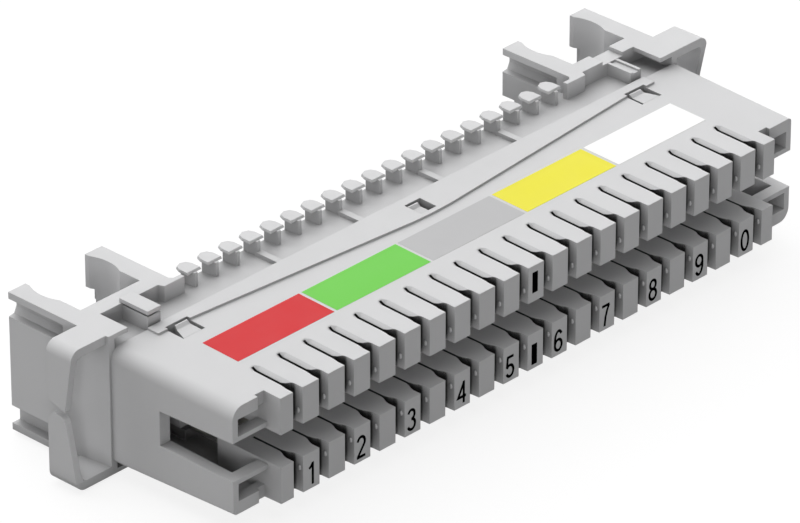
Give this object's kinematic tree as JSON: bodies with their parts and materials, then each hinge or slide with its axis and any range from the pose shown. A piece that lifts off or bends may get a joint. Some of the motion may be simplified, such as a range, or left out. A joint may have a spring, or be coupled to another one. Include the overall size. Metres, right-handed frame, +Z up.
{
  "type": "punch down wiring block",
  "caption": "Insulation-displacement wiring block with rows of slotted contacts for punched-down wires, a test slot, a wire comb, wire rings and clips that snap onto two round rods.",
  "frame": {"origin": "centre of the bottom of the bounding box", "axes": "X runs along the rows of slots, -Y is the wiring face, +Y is the side of the rods, +Z is up"},
  "size_m": [0.1232, 0.042, 0.0219],
  "materials": {
    "front_plastic": "fine satin moulding",
    "base_plastic": "fine satin moulding",
    "contact_metal": "silver-plated sheet"
  },
  "bodies": {
    "root": {"front_housing": "front_plastic", "rear_base": "base_plastic", "contact_upper_01": "contact_metal", "contact_upper_02": "contact_metal", "contact_upper_03": "contact_metal", "contact_upper_04": "contact_metal", "contact_upper_05": "contact_metal", "contact_upper_06": "contact_metal", "contact_upper_07": "contact_metal", "contact_upper_08": "contact_metal", "contact_upper_09": "contact_metal", "contact_upper_10": "contact_metal", "contact_upper_11": "contact_metal", "contact_upper_12": "contact_metal", "contact_upper_13": "contact_metal", "contact_upper_14": "contact_metal", "contact_upper_15": "contact_metal", "contact_upper_16": "contact_metal", "contact_upper_17": "contact_metal", "contact_upper_18": "contact_metal", "contact_upper_19": "contact_metal", "contact_upper_20": "contact_metal", "contact_lower_01": "contact_metal", "contact_lower_02": "contact_metal", "contact_lower_03": "contact_metal", "contact_lower_04": "contact_metal", "contact_lower_05": "contact_metal", "contact_lower_06": "contact_metal", "contact_lower_07": "contact_metal", "contact_lower_08": "contact_metal", "contact_lower_09": "contact_metal", "contact_lower_10": "contact_metal", "contact_lower_11": "contact_metal", "contact_lower_12": "contact_metal", "contact_lower_13": "contact_metal", "contact_lower_14": "contact_metal", "contact_lower_15": "contact_metal", "contact_lower_16": "contact_metal", "contact_lower_17": "contact_metal", "contact_lower_18": "contact_metal", "contact_lower_19": "contact_metal", "contact_lower_20": "contact_metal"}
  },
  "joints": []
}
